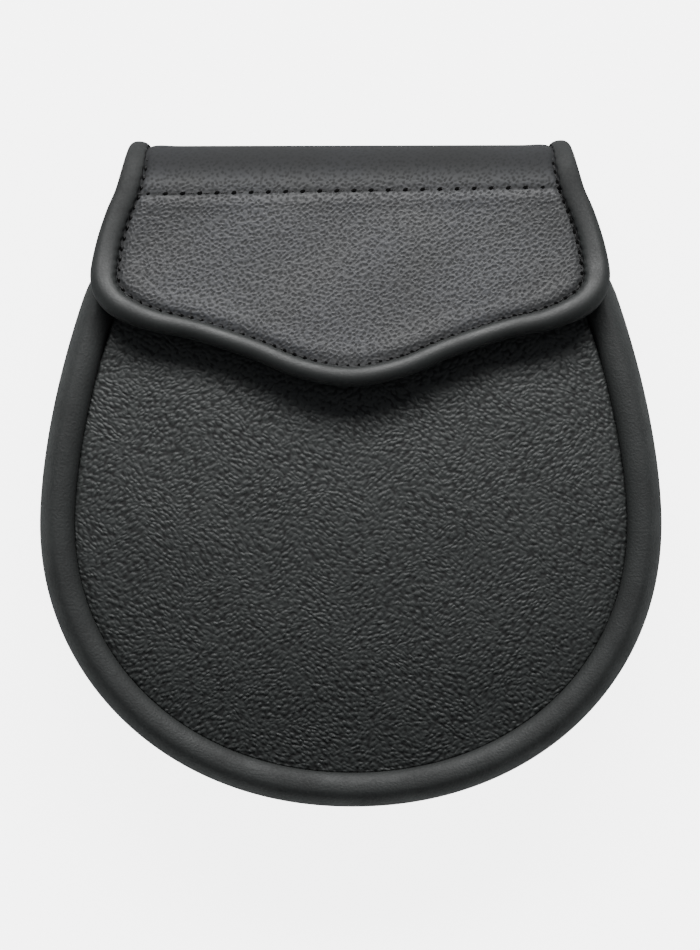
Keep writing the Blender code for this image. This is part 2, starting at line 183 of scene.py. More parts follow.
# The flap's relief: ditches under its stitches, the leather puffed beside them, slow swells
EDGE_DITCH_DEPTH = 0.60 * MM
EDGE_DITCH_WIDTH = 0.58 * MM
EDGE_DITCH_AWAY = 0.05 * MM
ROW_DITCH_DEPTH = 0.16 * MM
ROW_DITCH_WIDTH = 0.6 * MM
PUFF_AWAY = 3.2 * MM
EDGE_PUFF = 0.20 * MM
EDGE_PUFF_WIDTH = 2.6 * MM
ROW_PUFF = 0.12 * MM
ROW_PUFF_WIDTH = 1.8 * MM
# Painted shade along the sewn row: how dark it is and how wide
ROW_SHADE = 0.8
ROW_SHADE_WIDTH = 0.45 * MM
FLAP_SWELL = (0.20 * MM, 55.0 * MM, 1.9)
SWELL_FADE = 12.0 * MM
SWELL_INSET = 3.0 * MM
FOLD_SWELL = 0.25 * MM
FOLD_SWELL_Y = 86.0 * MM
FOLD_SWELL_FADE = 6.0 * MM

# Press stud
STUD_Y = 38.0 * MM
STUD_SIDES = 48

# Sewing: the pitch of each row, where the rows lie, and how unevenly stitches are turned
EDGE_PITCH = 3.1 * MM
FOLD_PITCH = 4.8 * MM
FOLD_ROW_DROP = 1.3 * MM
FOLD_ROW_RISE = 0.0155
FOLD_ROW_HALF_WIDTH = 60.5 * MM
BACK_PITCH = 3.8 * MM
BACK_STITCH_INSET = 3.2 * MM
LAP_ROW_HALF_WIDTH = 47.0 * MM
LAP_ROW_INSET = 3.5 * MM
LOOP_PITCH = 3.0 * MM
STITCH_WOBBLE = 0.09
STITCH_STEPS = 7
STITCH_SIDES = 7
SEWING_SEED = 1

# Mesh steps
PATH_SAMPLES = 900
GUSSET_STATIONS = 380
ROLL_STEPS = 14
WALL_STEPS = 14
CORNER_STEPS = 6
FLANGE_STEPS = 4
CREASE_STEPS = 8
ROUND_STEPS = 4
BACK_EDGE_STEPS = 30
BACK_RINGS = 30
PANEL_SIDE_STEPS = 300
PANEL_TOP_STEPS = 90
PANEL_RINGS = 56
FOLD_SAMPLES = 120
EDGE_SPAN_STEPS = 10
BEHIND_FOLD_STEPS = 16
OVER_FOLD_STEPS = 14
LAP_STEPS = 12
BINDING_SIDES = 30
BINDING_PER_STITCH = 10


# Numbers and paths

def smoothstep(t):
    t = np.clip(t, 0.0, 1.0)
    return t * t * (3.0 - 2.0 * t)


def bell(distance, width):
    """1 at no distance, falling smoothly to nothing past the width."""
    return np.exp(-((distance / width) ** 2))


def lengths(path):
    steps = np.linalg.norm(np.diff(path, axis=0), axis=1)
    return np.concatenate([[0.0], np.cumsum(steps)])


def points_at(path, distances, values=None):
    """A path's points, or other values given at those points, at distances along the path."""
    travelled = lengths(path)
    rows = path if values is None else values
    return np.column_stack([np.interp(distances, travelled, column) for column in rows.T])


def unit(vectors):
    return vectors / np.linalg.norm(vectors, axis=-1, keepdims=True)


def inward_normals(path):
    """The direction to the left of a flat path at each of its points."""
    tangent = unit(np.gradient(path, axis=0))
    return np.column_stack([-tangent[:, 1], tangent[:, 0]])


def ripple(x, y, size, seed):
    """A slow, irregular swell between about -1 and 1, from crossed sine waves."""
    swell = 0.0
    for turn in range(5):
        angle = seed + 2.4 * turn
        wave = (x * math.cos(angle) + y * math.sin(angle)) / (size * (1.0 - 0.13 * turn))
        swell = swell + np.sin(2.0 * math.pi * wave + 1.7 * seed + turn * turn)
    return swell / 3.2


# The pouch's shapes, as in the frame

def half_width(y):
    """Half the body's width at a height, tapered above its widest place and drawn in at its neck."""
    rise = np.maximum(y - WIDEST_Y, 0.0)
    taper = SIDE_TAPER * (rise / SIDE_SPAN) ** SIDE_POWER
    squeeze = NECK_SQUEEZE * smoothstep((y - NECK_START) / (NECK_TOP - NECK_START))
    return BODY_HALF_WIDTH - taper - squeeze


def silhouette():
    """The body's outline, down its left side, round the bottom and up its right side."""
    side_y = np.linspace(NECK_TOP, WIDEST_Y, PATH_SAMPLES, endpoint=False)
    left = np.column_stack([-half_width(side_y), side_y])
    angle = np.linspace(0.0, math.pi, 2 * PATH_SAMPLES)
    power = 2.0 / BOTTOM_ROUNDNESS
    across = np.sign(np.cos(angle)) * np.abs(np.cos(angle)) ** power
    down = np.abs(np.sin(angle)) ** power
    bottom_y = WIDEST_Y - BODY_DROP * down
    bottom = np.column_stack([bottom_lean(bottom_y) - BODY_HALF_WIDTH * across, bottom_y])
    return np.vstack([left, bottom, left[::-1] * (-1.0, 1.0)])


def bottom_lean(y):
    """How far the sewn pouch pulls to one side low down."""
    return BOTTOM_LEAN * smoothstep((WIDEST_Y - y) / BODY_DROP)


def back_height(y):
    """How far the back panel rises off the floor to clear the strap loops."""
    return LOOP_STANDOFF * smoothstep((y - RAMP_LOW) / (RAMP_HIGH - RAMP_LOW))


def seam_height(y):
    """Height of the crease between the front panel and the gusset's roll."""
    above = np.maximum(y - BELLY_Y, 0.0) / (NECK_TOP - BELLY_Y)
    below = np.maximum(BELLY_Y - y, 0.0) / BODY_DROP
    return BELLY_SEAM - TOP_FALL * above**TOP_FALL_POWER - BOTTOM_FALL * below**2


def front_height(x, y):
    """Height of the front panel, crowned over its crease."""
    x = x - bottom_lean(y)
    down = np.maximum(WIDEST_Y - y, 0.0) / (BODY_DROP - SEAM_INSET)
    across = np.abs(x) / (half_width(np.maximum(y, WIDEST_Y)) - SEAM_INSET)
    reach = (across**BOTTOM_ROUNDNESS + down**BOTTOM_ROUNDNESS) ** (1.0 / BOTTOM_ROUNDNESS)
    upward = np.maximum(y - WIDEST_Y, 0.0) / (MOUTH_Y - WIDEST_Y)
    crown = FRONT_CROWN * (1.0 - CROWN_FADE * upward**2)
    return seam_height(y) + crown * (1.0 - np.minimum(reach, 1.0) ** CROWN_POWER)


def bezier(start, first, second, end, steps):
    t = np.linspace(0.0, 1.0, steps + 1)[:, None]
    start, first, second, end = map(np.array, (start, first, second, end))
    near = (1.0 - t) ** 3 * start + 3.0 * (1.0 - t) ** 2 * t * first
    return near + 3.0 * (1.0 - t) * t**2 * second + t**3 * end


def flap_profile():
    """The flap's middle line as (distance along it, y, z) rows, from its lap to past its tip."""
    lap_z = LOOP_STANDOFF - GAP - FLAP_THICKNESS / 2
    peak = (WIDEST_Y + FOLD_RISE - FLAP_THICKNESS / 2, FOLD_PEAK_Z)
    forward = np.array([-math.cos(FLAP_SLOPE), math.sin(FLAP_SLOPE)])
    front = np.array([FLAP_FRONT_Y, FLAP_FRONT_Z])
    low = (peak[0], peak[1] - (peak[1] - lap_z) * FOLD_FULLNESS)
    high = (peak[0], peak[1] + (FLAP_FRONT_Z - peak[1]) * FOLD_FULLNESS)
    rear = bezier((LAP_TOP_Y, lap_z), (LAP_TOP_Y + LAP_TURN, lap_z), low, peak, FOLD_SAMPLES)
    over = bezier(peak, high, front - forward * FRONT_TURN, front, FOLD_SAMPLES)
    slope = front + forward * np.linspace(0.0, FRONT_RUN, FOLD_SAMPLES)[1:, None]
    line = np.vstack([[(LAP_END_Y, lap_z)], rear, over[1:], slope])
    return np.column_stack([lengths(line), line])


PROFILE = flap_profile()


def fold_row(across):
    """Distance along the flap of the sewn row below its fold, which rises a little to the right."""
    return PROFILE[2 * FOLD_SAMPLES, 0] + FOLD_ROW_DROP - across * FOLD_ROW_RISE


def along_at_front(y):
    """Distance along the flap of a height on its sloping front."""
    slope = PROFILE[2 * FOLD_SAMPLES + 1 :]
    return float(np.interp(-y, -slope[:, 1], slope[:, 0]))


def flap_point(across, along):
    """A point of the flap's flat pattern, in its place in space."""
    y = np.interp(along, PROFILE[:, 0], PROFILE[:, 1])
    z = np.interp(along, PROFILE[:, 0], PROFILE[:, 2])
    front = smoothstep((DROP_START_Y - y) / (DROP_START_Y - DROP_FULL_Y))
    on_front = smoothstep((z - FOLD_PEAK_Z) / (FLAP_FRONT_Z - FOLD_PEAK_Z))
    drop = FLAP_CORNER_DROP * np.abs(across / CORNER_REACH) ** 3 * front * on_front
    return np.stack([across, y, z - drop], axis=-1)


def smooth_curve(points, steps):
    """A Catmull-Rom curve through points, with the given number of steps after each of them."""
    points = np.array(points)
    first, last = 2.0 * points[0] - points[1], 2.0 * points[-1] - points[-2]
    padded = np.vstack([first, points, last])
    out = []
    for a, b, c, d, count in zip(padded, padded[1:], padded[2:], padded[3:], steps):
        for t in np.linspace(0.0, 1.0, count, endpoint=False):
            straight = b + 0.5 * t * (c - a)
            bend = t**2 * (a - 2.5 * b + 2.0 * c - 0.5 * d)
            out.append(straight + bend + t**3 * (1.5 * (b - c) + 0.5 * (d - a)))
    return np.array(out + [points[-1]])


def bound_edge():
    """The flap's bound edge in its flat pattern: (half width, distance along, radius) rows."""
    lap_top = PROFILE[1, 0]
    peak = PROFILE[1 + FOLD_SAMPLES, 0]
    start = lap_top + (peak - lap_top) * BINDING_START
    halfway = (peak + PROFILE[1 + 2 * FOLD_SAMPLES, 0]) / 2
    rows = [
        (BINDING_START_HALF_WIDTH, start, BINDING_RADIUS_AT_FOLD),
        (FOLD_HALF_WIDTH, peak, BINDING_RADIUS_AT_FOLD),
        (OVER_HALF_WIDTH, halfway, BINDING_RADIUS_AT_FOLD),
    ]
    rows += [(wide, along_at_front(y), radius) for wide, y, radius in FLAP_EDGE]
    mirrored = [(-wide, along, radius) for wide, along, radius in rows[-2::-1]]
    over = [OVER_FOLD_STEPS, OVER_FOLD_STEPS]
    steps = [BEHIND_FOLD_STEPS] + over + [EDGE_SPAN_STEPS] * (len(FLAP_EDGE) - 1)
    return smooth_curve(rows + mirrored, steps + steps[::-1])


def coons_patch(left, bottom, right, top):
    """A grid of points inside four edges that meet at their ends."""
    u = np.linspace(0.0, 1.0, len(bottom))[None, :, None]
    v = np.linspace(0.0, 1.0, len(left))[:, None, None]
    rails = (1.0 - u) * left[:, None] + u * right[:, None]
    ribs = (1.0 - v) * bottom[None] + v * top[None]
    low = (1.0 - u) * bottom[0] + u * bottom[-1]
    high = (1.0 - u) * top[0] + u * top[-1]
    return rails + ribs - (1.0 - v) * low - v * high


def flap_pattern():
    """The flap's grid in its flat pattern: straight rows down to its corners, then a patch."""
    edge = bound_edge()[:, :2]
    shoulder = BEHIND_FOLD_STEPS + 2 * OVER_FOLD_STEPS + FLAP_SHOULDER * EDGE_SPAN_STEPS
    corner = shoulder + (FLAP_CORNER - FLAP_SHOULDER) * EDGE_SPAN_STEPS
    bottom = edge[corner : len(edge) - corner][::-1]
    lap_steps = np.linspace(0.0, 1.0, LAP_STEPS, endpoint=False)[:, None]
    lap = (1.0 - lap_steps) * (LAP_HALF_WIDTH, 0.0) + lap_steps * edge[0]
    share = np.linspace(-1.0, 1.0, len(bottom))[:, None]
    rows = [
        np.hstack([share * wide, np.full_like(share, along)])
        for wide, along in np.vstack([lap, edge[: shoulder + 1]])
    ]
    right = edge[shoulder : corner + 1][::-1]
    patch = coons_patch(right * (-1.0, 1.0), bottom, right, rows[-1])
    return np.array(rows[:-1] + list(patch[::-1]))


# Meshes

def add_piece(name, points, faces, materials, inner=None):
    """A piece from points and faces. Faces from index `inner` on take the second material."""
    mesh = bpy.data.meshes.new(name)
    mesh.from_pydata(np.asarray(points).tolist(), [], faces)
    for material in materials:
        mesh.materials.append(material)
    if inner is not None:
        index = np.zeros(len(faces), np.int32)
        index[inner:] = 1
        mesh.polygons.foreach_set("material_index", index)
    mesh.shade_smooth()
    mesh.update()
    piece = bpy.data.objects.new(name, mesh)
    bpy.context.scene.collection.objects.link(piece)
    return piece


def add_attribute(mesh, name, kind, field, values):
    """Gives each point of a mesh a value of its own, for materials and Geometry Nodes to read."""
    attribute = mesh.attributes.new(name, kind, "POINT")
    attribute.data.foreach_set(field, np.asarray(values, np.float32).ravel())


def grid_faces(rows, columns, start=0, closed=False):
    wrap = columns if closed else columns - 1
    index = start + np.arange(rows * columns).reshape(rows, columns)
    after = np.roll(index, -1, axis=1)
    quads = np.stack([index[:-1], after[:-1], after[1:], index[1:]], axis=-1)[:, :wrap]
    return quads.reshape(-1, 4).tolist()


def sheet_normals(grid):
    """The direction across a grid of points at each of them."""
    down, across = np.gradient(grid, axis=0), np.gradient(grid, axis=1)
    return unit(np.cross(across, down))


def slab(name, outer, inner, materials):
    """A closed sheet between an outer and an inner grid, whose rim joins their borders."""
    rows, columns = outer.shape[:2]
    count = rows * columns
    faces = grid_faces(rows, columns)
    first_inner = len(faces)
    faces += [quad[::-1] for quad in grid_faces(rows, columns, count)]
    index = np.arange(count).reshape(rows, columns)
    border = np.concatenate([index[0], index[1:, -1], index[-1, -2::-1], index[-2:0:-1, 0]])
    after = np.roll(border, -1)
    faces += np.stack([after, border, border + count, after + count], axis=-1).tolist()
    points = np.vstack([outer.reshape(-1, 3), inner.reshape(-1, 3)])
    return add_piece(name, points, faces, materials, first_inner)


def lathe_like(name, rings, materials, inner_ring=None):
    """A closed piece through rings of points, with a pole at each end."""
    rows, columns = rings.shape[:2]
    top, bottom, last = rows * columns, rows * columns + 1, (rows - 1) * columns
    beside = [(column, (column + 1) % columns) for column in range(columns)]
    faces = [[top, column, after] for column, after in beside]
    faces += [quad[::-1] for quad in grid_faces(rows, columns, closed=True)]
    faces += [[bottom, last + after, last + column] for column, after in beside]
    points = np.vstack([rings.reshape(-1, 3), rings[0].mean(axis=0), rings[-1].mean(axis=0)])
    inner = None if inner_ring is None else (inner_ring + 1) * columns
    return add_piece(name, points, faces, materials, inner)


def tube(name, rows, materials):
    """A closed tube through rows of points, with a flat cap at each end."""
    count, columns = rows.shape[:2]
    faces = grid_faces(count, columns, closed=True)
    faces.append(list(range(columns))[::-1])
    faces.append(list(range((count - 1) * columns, count * columns)))
    return add_piece(name, rows.reshape(-1, 3), faces, materials)


# Shader maths

class Wire:
    """An output socket of a node tree. Arithmetic on it adds Math nodes; node() adds any other."""

    def __init__(self, tree, socket=None):
        self.tree = tree
        self.socket = socket

    def node(self, kind, settings=None, inputs=None, output=0):
        made = self.tree.nodes.new(kind)
        for key, value in (settings or {}).items():
            setattr(made, key, value)
        for key, value in (inputs or {}).items():
            if isinstance(value, Wire):
                self.tree.links.new(value.socket, made.inputs[key])
            else:
                made.inputs[key].default_value = value
        return Wire(self.tree, made.outputs[output])

    def maths(self, operation, first, second):
        return self.node("ShaderNodeMath", {"operation": operation}, {0: first, 1: second})

    def __add__(self, other):
        return self.maths("ADD", self, other)

    __radd__ = __add__

    def __sub__(self, other):
        return self.maths("SUBTRACT", self, other)

    def __rsub__(self, other):
        return self.maths("SUBTRACT", other, self)

    def __mul__(self, other):
        return self.maths("MULTIPLY", self, other)

    __rmul__ = __mul__


def new_material(name):
    """A material, the start of its maths and its shader."""
    material = bpy.data.materials.new(name)
    material.use_nodes = True
    tree = material.node_tree
    shader = tree.nodes["Principled BSDF"]
    return material, Wire(tree), shader


def plug(wire, node, name):
    wire.tree.links.new(wire.socket, node.inputs[name])


def place(wires):
    return wires.node("ShaderNodeTexCoord", output="Object")


def between(value, low, high):
    """0 below the low value, 1 above the high one, and smooth between them."""
    settings = {"interpolation_type": "SMOOTHSTEP"}
    return value.node("ShaderNodeMapRange", settings, {"Value": value, 1: low, 2: high, 3: 0.0, 4: 1.0})


def noise(where, size, detail=2.0, roughness=0.5, output=0):
    """Soft noise with lumps of about a size in metres."""
    inputs = {"Vector": where, "Scale": 1.0 / size, "Detail": detail, "Roughness": roughness}
    return where.node("ShaderNodeTexNoise", {}, inputs, output)


def drawn_out(where, factor, turn):
    """A place for patterns that are longer by a factor along a line turned from the X axis."""
    inputs = {"Vector": where, "Scale": (factor, 1.0, 1.0), "Rotation": (0.0, 0.0, turn)}
    return where.node("ShaderNodeMapping", {"vector_type": "TEXTURE"}, inputs)


def warped(where, size, amount):
    """A position shifted by a slow noise, by up to about half the amount each way."""
    push = noise(where, size, 1.0, 0.5, "Color")
    centred = push.node("ShaderNodeVectorMath", {"operation": "SUBTRACT"}, {0: push, 1: (0.5, 0.5, 0.5)})
    scaled = push.node("ShaderNodeVectorMath", {"operation": "SCALE"}, {0: centred, "Scale": amount})
    return push.node("ShaderNodeVectorMath", {"operation": "ADD"}, {0: where, 1: scaled})


def mixed(share, first, second):
    """A colour between two colours."""
    return share.node("ShaderNodeMix", {"data_type": "RGBA"}, {0: share, 6: first, 7: second}, 2)


def blended(share, first, second):
    """A number between two numbers or wires."""
    return share.node("ShaderNodeMix", {"data_type": "FLOAT"}, {0: share, 2: first, 3: second}, 0)


def axis(where, name):
    return where.node("ShaderNodeSeparateXYZ", {}, {0: where}, name)


def bumped(shader, height, depth):
    """Leads a height into the shader's normal, as a relief of the given depth."""
    inputs = {"Height": height, "Distance": depth, "Strength": 1.0}
    plug(height.node("ShaderNodeBump", {}, inputs), shader, "Normal")


def rgb(level, tint=(1.0, 1.0, 1.0)):
    return (level * tint[0], level * tint[1], level * tint[2], 1.0)


COOL = (0.94, 1.0, 1.05)
GREENISH = (0.90, 1.0, 0.96)
BLUISH = (0.90, 0.98, 1.18)
WARM = (1.12, 0.98, 0.90)


def pebbles(where, size, grain_size, dome, grain):
    """Rounded pebbles on a flat pattern, joined here and there by a soft uneven grain."""
    settings = {"feature": "SMOOTH_F1", "voronoi_dimensions": "2D"}
    inputs = {"Vector": where, "Scale": 1.0 / size, "Smoothness": 0.4}
    distance = where.node("ShaderNodeTexVoronoi", settings, inputs, "Distance")
    return (1.0 - between(distance, 0.05, 0.70)) * dome + noise(where, grain_size, 0.0) * grain


def flap_grain():
    """Fine even grain with small dark pits, smoother where the flap rolls over the fold and darker there
    as painted shade, with painted shade along its ditches and sewn row.
    """
    material, wires, shader = new_material("flap_grain")
    where = wires.node("ShaderNodeAttribute", {"attribute_name": "flat_pattern"}, {}, "Vector")
    loose = drawn_out(warped(where, 3.2 * MM, 1.0 * MM), 1.2, -0.75)
    settings = {"voronoi_dimensions": "2D"}
    inputs = {"Vector": loose, "Scale": 1.0 / (1.18 * MM), "Randomness": 0.85}
    spots = loose.node("ShaderNodeTexVoronoi", settings, inputs, "Distance")
    height = between(spots, 0.1, 0.55) * 0.7 + noise(loose, 0.8 * MM, 0.0) * 1.2
    # Towards the fold the relief is calmer and the colour darker, as painted shade.
    calm_and_painted_shade = 1.0 - between(axis(place(wires), "Y"), 80.0 * MM, 91.0 * MM) * 0.8
    bumped(shader, height * calm_and_painted_shade, 0.09 * MM)
    cloud = noise(where, 26.0 * MM, 3.0, 0.55)
    # Painted shade in the ditches beside the binding and along the sewn row darkens the colour below.
    sewn = wires.node("ShaderNodeAttribute", {"attribute_name": "painted_seam_shade"}, {}, "Fac")
    tone = blended(calm_and_painted_shade, 0.1, between(height, 0.5, 1.25)) * (1.0 - sewn * 0.9)
    dark = mixed(cloud, rgb(0.005, COOL), rgb(0.007, COOL))
    light = mixed(between(cloud, 0.35, 0.65), rgb(0.014, COOL), rgb(0.018, BLUISH))
    plug(mixed(tone, dark, light), shader, "Base Color")
    plug(blended(tone, 0.66, 0.50) + sewn * 0.2 + (1.0 - calm_and_painted_shade) * 0.3, shader, "Roughness")
    return material


def front_grain():
    """Pebbles drawn out into short ridges that lean both ways, deeper low on the panel."""
    material, wires, shader = new_material("front_grain")
    where = place(wires)
    loose = warped(warped(where, 22.0 * MM, 3.0 * MM), 3.2 * MM, 1.0 * MM)
    ways = [pebbles(drawn_out(loose, 1.4, turn), 1.2 * MM, 0.85 * MM, 0.9, 1.1) for turn in (-0.6, 0.6)]
    height = blended(between(noise(where, 14.0 * MM, 1.0), 0.42, 0.58), *ways)
    low = 1.0 - between(axis(where, "Y"), -76.0 * MM, -20.0 * MM)
    bumped(shader, height * (1.0 + low * 0.35), 0.20 * MM)
    tone = between(height, 0.35, 0.95)
    plug(mixed(tone, rgb(0.003, GREENISH), rgb(0.026, GREENISH)), shader, "Base Color")
    plug(blended(tone, 0.75, 0.58), shader, "Roughness")
    return material


def smooth_leather(name, level, roughness, grain_depth, warm_edge=False, painted_shade_above=False):
    """Smooth leather with a very fine grain and a soft cloudy shade.

    warm_edge browns its low outer side, and the last flag paints shade on it towards the flap's fold,
    darker and rougher there.
    """
    material, wires, shader = new_material(name)
    where = place(wires)
    fine = noise(where, 0.7 * MM, 2.0, 0.6)
    cloud = noise(where, 12.0 * MM, 3.0, 0.6)
    bumped(shader, fine, grain_depth)
    tone = between(cloud, 0.25, 0.75) * 0.6 + between(fine, 0.3, 0.7) * 0.4
    shade = mixed(tone, rgb(level * 0.6, GREENISH), rgb(level * 1.35, GREENISH))
    if warm_edge:
        low = 1.0 - between(axis(where, "Z"), 20.0 * MM, 33.0 * MM)
        shade = mixed(low * 0.7, shade, rgb(level * 0.8, WARM))
    gloss = blended(tone, roughness + 0.08, roughness - 0.08)
    if painted_shade_above:
        # Painted shade: darker towards the flap's fold, and rougher there too.
        high = between(axis(where, "Y"), 66.0 * MM, 88.0 * MM)
        shade = mixed(high * 0.5, shade, rgb(level * 0.3, COOL))
        gloss = gloss + high * 0.25
    plug(shade, shader, "Base Color")
    plug(gloss, shader, "Roughness")
    return material


def flesh_side():
    """The inner side of the leather: matt, short-napped and a little brown."""
    material, wires, shader = new_material("flesh_side")
    where = place(wires)
    nap = noise(where, 0.5 * MM, 4.0, 0.7)
    cloud = noise(where, 15.0 * MM, 3.0, 0.5)
    bumped(shader, nap, 0.12 * MM)
    plug(mixed(cloud, rgb(0.020, WARM), rgb(0.040, WARM)), shader, "Base Color")
    plug(blended(nap, 0.95, 0.8), shader, "Roughness")
    return material


def thread_material():
    """Waxed black thread, with the twist of its strands."""
    material, wires, shader = new_material("waxed_thread")
    where = place(wires)
    turned = drawn_out(where, 1.0, -0.8)
    inputs = {"Vector": turned, "Scale": 1.0 / (1.6 * MM), "Distortion": 0.6}
    wave = turned.node("ShaderNodeTexWave", {}, inputs)
    bumped(shader, wave, 0.08 * MM)
    plug(mixed(wave, rgb(0.004), rgb(0.014)), shader, "Base Color")
    plug(blended(wave, 0.75, 0.55), shader, "Roughness")
    return material


def painted_hole_shade():
    """Painted shade for a needle hole: near-black colour on small shapes laid on the leather, standing for
    the shade inside the hole.
    """
    material, wires, shader = new_material("needle_hole")
    depth = noise(place(wires), 0.4 * MM)
    plug(mixed(depth, rgb(0.0008), rgb(0.002)), shader, "Base Color")
    plug(blended(depth, 0.95, 0.9), shader, "Roughness")
    shader.inputs["Specular IOR Level"].default_value = 0.1
    return material


def stud_material():
    """Darkened brass, rubbed lighter in places, with a faint fine relief."""
    material, wires, shader = new_material("stud_brass")
    where = place(wires)
    rubbed = noise(where, 1.2 * MM, 3.0, 0.6)
    shader.inputs["Metallic"].default_value = 1.0
    bumped(shader, rubbed, 0.03 * MM)
    plug(mixed(rubbed, (0.16, 0.13, 0.09, 1.0), (0.42, 0.35, 0.22, 1.0)), shader, "Base Color")
    plug(blended(rubbed, 0.45, 0.25), shader, "Roughness")
    return material


# The leather pieces

def closed_outline(inset, top_y):
    """A closed outline inside the silhouette: its sides and bottom, then its straight top."""
    path = silhouette()
    path = path + inward_normals(path) * inset
    path = path[path[:, 1] < top_y]
    sides = points_at(path, np.linspace(0.0, lengths(path)[-1], PANEL_SIDE_STEPS + 1))
    top = np.linspace(sides[-1], sides[0], PANEL_TOP_STEPS + 1)[1:-1]
    return np.vstack([sides, top])


def ring_inset(outline, distance):
    """An outline drawn in towards its middle, to a distance inside each of its edges."""
    spokes = unit(outline.mean(axis=0) - outline)
    along = unit(np.roll(outline, -1, axis=0) - outline)
    inward = np.column_stack([-along[:, 1], along[:, 0]])
    facing = [(spokes * normal).sum(axis=1) for normal in (inward, np.roll(inward, 1, axis=0))]
    return outline + spokes * (distance / np.minimum(*facing))[:, None]


def panel_rings(outline, edge, rings):
    """Flat rings out to a little inside an outline, rounder towards the middle than the outline."""
    middle = outline.mean(axis=0)
    spokes = ring_inset(outline, edge) - middle
    reach = np.linalg.norm(spokes, axis=1, keepdims=True)
    circle = spokes / reach * reach.min()
    flat = []
    for share in np.linspace(0.012, 1.0, rings)[:-1]:
        shaped = share**3
        flat.append(middle + share * (shaped * spokes + (1.0 - shaped) * circle))
    return flat


def build_front(materials):
    """The pebbled front panel, its edge turned down into the crease except at the bottom."""
    outline = closed_outline(SEAM_INSET + CREASE_GAP, FRONT_TOP_Y)
    flat = panel_rings(outline, CREASE_WIDTH, PANEL_RINGS)

    def lifted(ring, fall):
        x, y = ring.T
        swell = sum(height * ripple(x, y, size, seed) for height, size, seed in FRONT_SWELLS)
        return np.column_stack([ring, front_height(x, y) + swell - fall])

    rings = [lifted(ring, 0.0) for ring in flat]
    for share in np.linspace(0.0, 1.0, CREASE_STEPS + 1):
        ring = ring_inset(outline, CREASE_WIDTH * (1.0 - share))
        depth = CREASE_DEPTH * smoothstep((ring[:, 1] - CREASE_LOW_Y) / CREASE_FADE)
        rings.append(lifted(ring, depth * share**2))
    outer = len(rings)
    for inset, fall in ((0.0, CUT_EDGE), (CUT_EDGE_INSET, FRONT_THICKNESS)):
        rings.append(lifted(ring_inset(outline, inset), fall))
    rings += [lifted(ring, FRONT_THICKNESS) for ring in flat[::-7]]
    return lathe_like("front_leather", np.array(rings), materials, outer)


def build_back(materials):
    """The plain back panel, with a sewn line round it and rounded cut edges."""
    outline = closed_outline(BACK_PANEL_INSET, NECK_TOP)
    flat = panel_rings(outline, BACK_EDGE_BAND, BACK_RINGS)

    def lifted(ring, rise, inset=BACK_EDGE_BAND):
        sunk = BACK_DITCH_DEPTH * bell(inset - BACK_STITCH_INSET, BACK_DITCH_WIDTH)
        return np.column_stack([ring, back_height(ring[:, 1]) + sunk + rise])

    rings = [lifted(ring, 0.0) for ring in flat]
    for inset in np.linspace(BACK_EDGE_BAND, BACK_EDGE_ROUND, BACK_EDGE_STEPS + 1):
        rings.append(lifted(ring_inset(outline, inset), 0.0, inset))
    turns = np.linspace(0.0, math.pi / 2, ROUND_STEPS + 1)
    rounded = [(1.0 - np.sin(turns[1:]), BACK_EDGE_ROUND * (1.0 - np.cos(turns[1:])))]
    rounded.append((1.0 - np.cos(turns), BACK_THICKNESS - BACK_EDGE_ROUND * (1.0 - np.sin(turns))))
    for shares, rises in rounded:
        for share, rise in zip(shares, rises):
            rings.append(lifted(ring_inset(outline, BACK_EDGE_ROUND * share), rise))
    inner = len(rings)
    rings += [lifted(ring, BACK_THICKNESS) for ring in flat[::-6]]
    return lathe_like("back_leather", np.array(rings)[:, ::-1], materials, inner)


def quarter(centre_in, centre_z, half_in, half_z, start, steps):
    """A quarter of an ellipse, as (distance in, height) points."""
    angles = start + np.linspace(0.0, math.pi / 2, steps + 1)
    return [(centre_in + half_in * math.cos(a), centre_z + half_z * math.sin(a)) for a in angles]


def gusset_section(point, normal):
    """The gusset's outer face at one station, from its front flange round to its back one."""
    seam_point = point + normal * SEAM_INSET
    flange_end = point + normal * (SEAM_INSET + FRONT_FLANGE)
    below = FRONT_THICKNESS / math.cos(FRONT_EDGE_SLOPE) + GAP
    seam = float(seam_height(seam_point[1]))
    back = float(back_height(point[1])) + BACK_THICKNESS + GAP
    corner_in = SIDE_LEAN + BACK_CORNER_RADIUS
    foot = back + BACK_CORNER_RADIUS
    shoulder = seam - SHOULDER_DROP
    height, size, seed = WALL_SWELL
    slack = height * float(ripple(point[0], point[1], size, seed)) + WALL_BULGE

    places = []
    for share in np.linspace(0.0, 1.0, FLANGE_STEPS + 1)[:-1]:
        x, y = flange_end + (seam_point - flange_end) * share
        places.append((SEAM_INSET + FRONT_FLANGE * (1.0 - share), float(front_height(x, y)) - below))
    places.append((SEAM_INSET, float(front_height(*seam_point)) - below))
    places += quarter(RIDGE_INSET, seam, SEAM_INSET - RIDGE_INSET, RIDGE_RISE, 0.0, ROLL_STEPS)
    reach = SHOULDER_DROP + RIDGE_RISE
    places += quarter(RIDGE_INSET, shoulder, RIDGE_INSET, reach, math.pi / 2, ROLL_STEPS)[1:]
    for share in np.linspace(0.0, 1.0, WALL_STEPS + 1)[1:-1]:
        lean = SIDE_LEAN * float(smoothstep(share)) ** WALL_LEAN_POWER
        lean += slack * math.sin(math.pi * share) ** 2
        places.append((lean, shoulder + (foot - shoulder) * share))
    radius = BACK_CORNER_RADIUS
    places += quarter(corner_in, foot, radius, radius, math.pi, CORNER_STEPS)
    shares = np.linspace(0.0, 1.0, FLANGE_STEPS + 1)[1:]
    places += [(corner_in + BACK_FLANGE * share, back) for share in shares]
    return [(*(point + normal * inset), height) for inset, height in places]


def build_gusset(materials):
    """The smooth wall, with its fat roll round the front."""
    path = silhouette()
    spread = np.linspace(0.0, lengths(path)[-1], GUSSET_STATIONS + 1)
    points = points_at(path, spread)
    normals = unit(points_at(path, spread, inward_normals(path)))
    outer = np.array([gusset_section(p, n) for p, n in zip(points, normals)])
    inner = outer - sheet_normals(outer) * GUSSET_THICKNESS
    return slab("gusset_leather", outer, inner, materials)


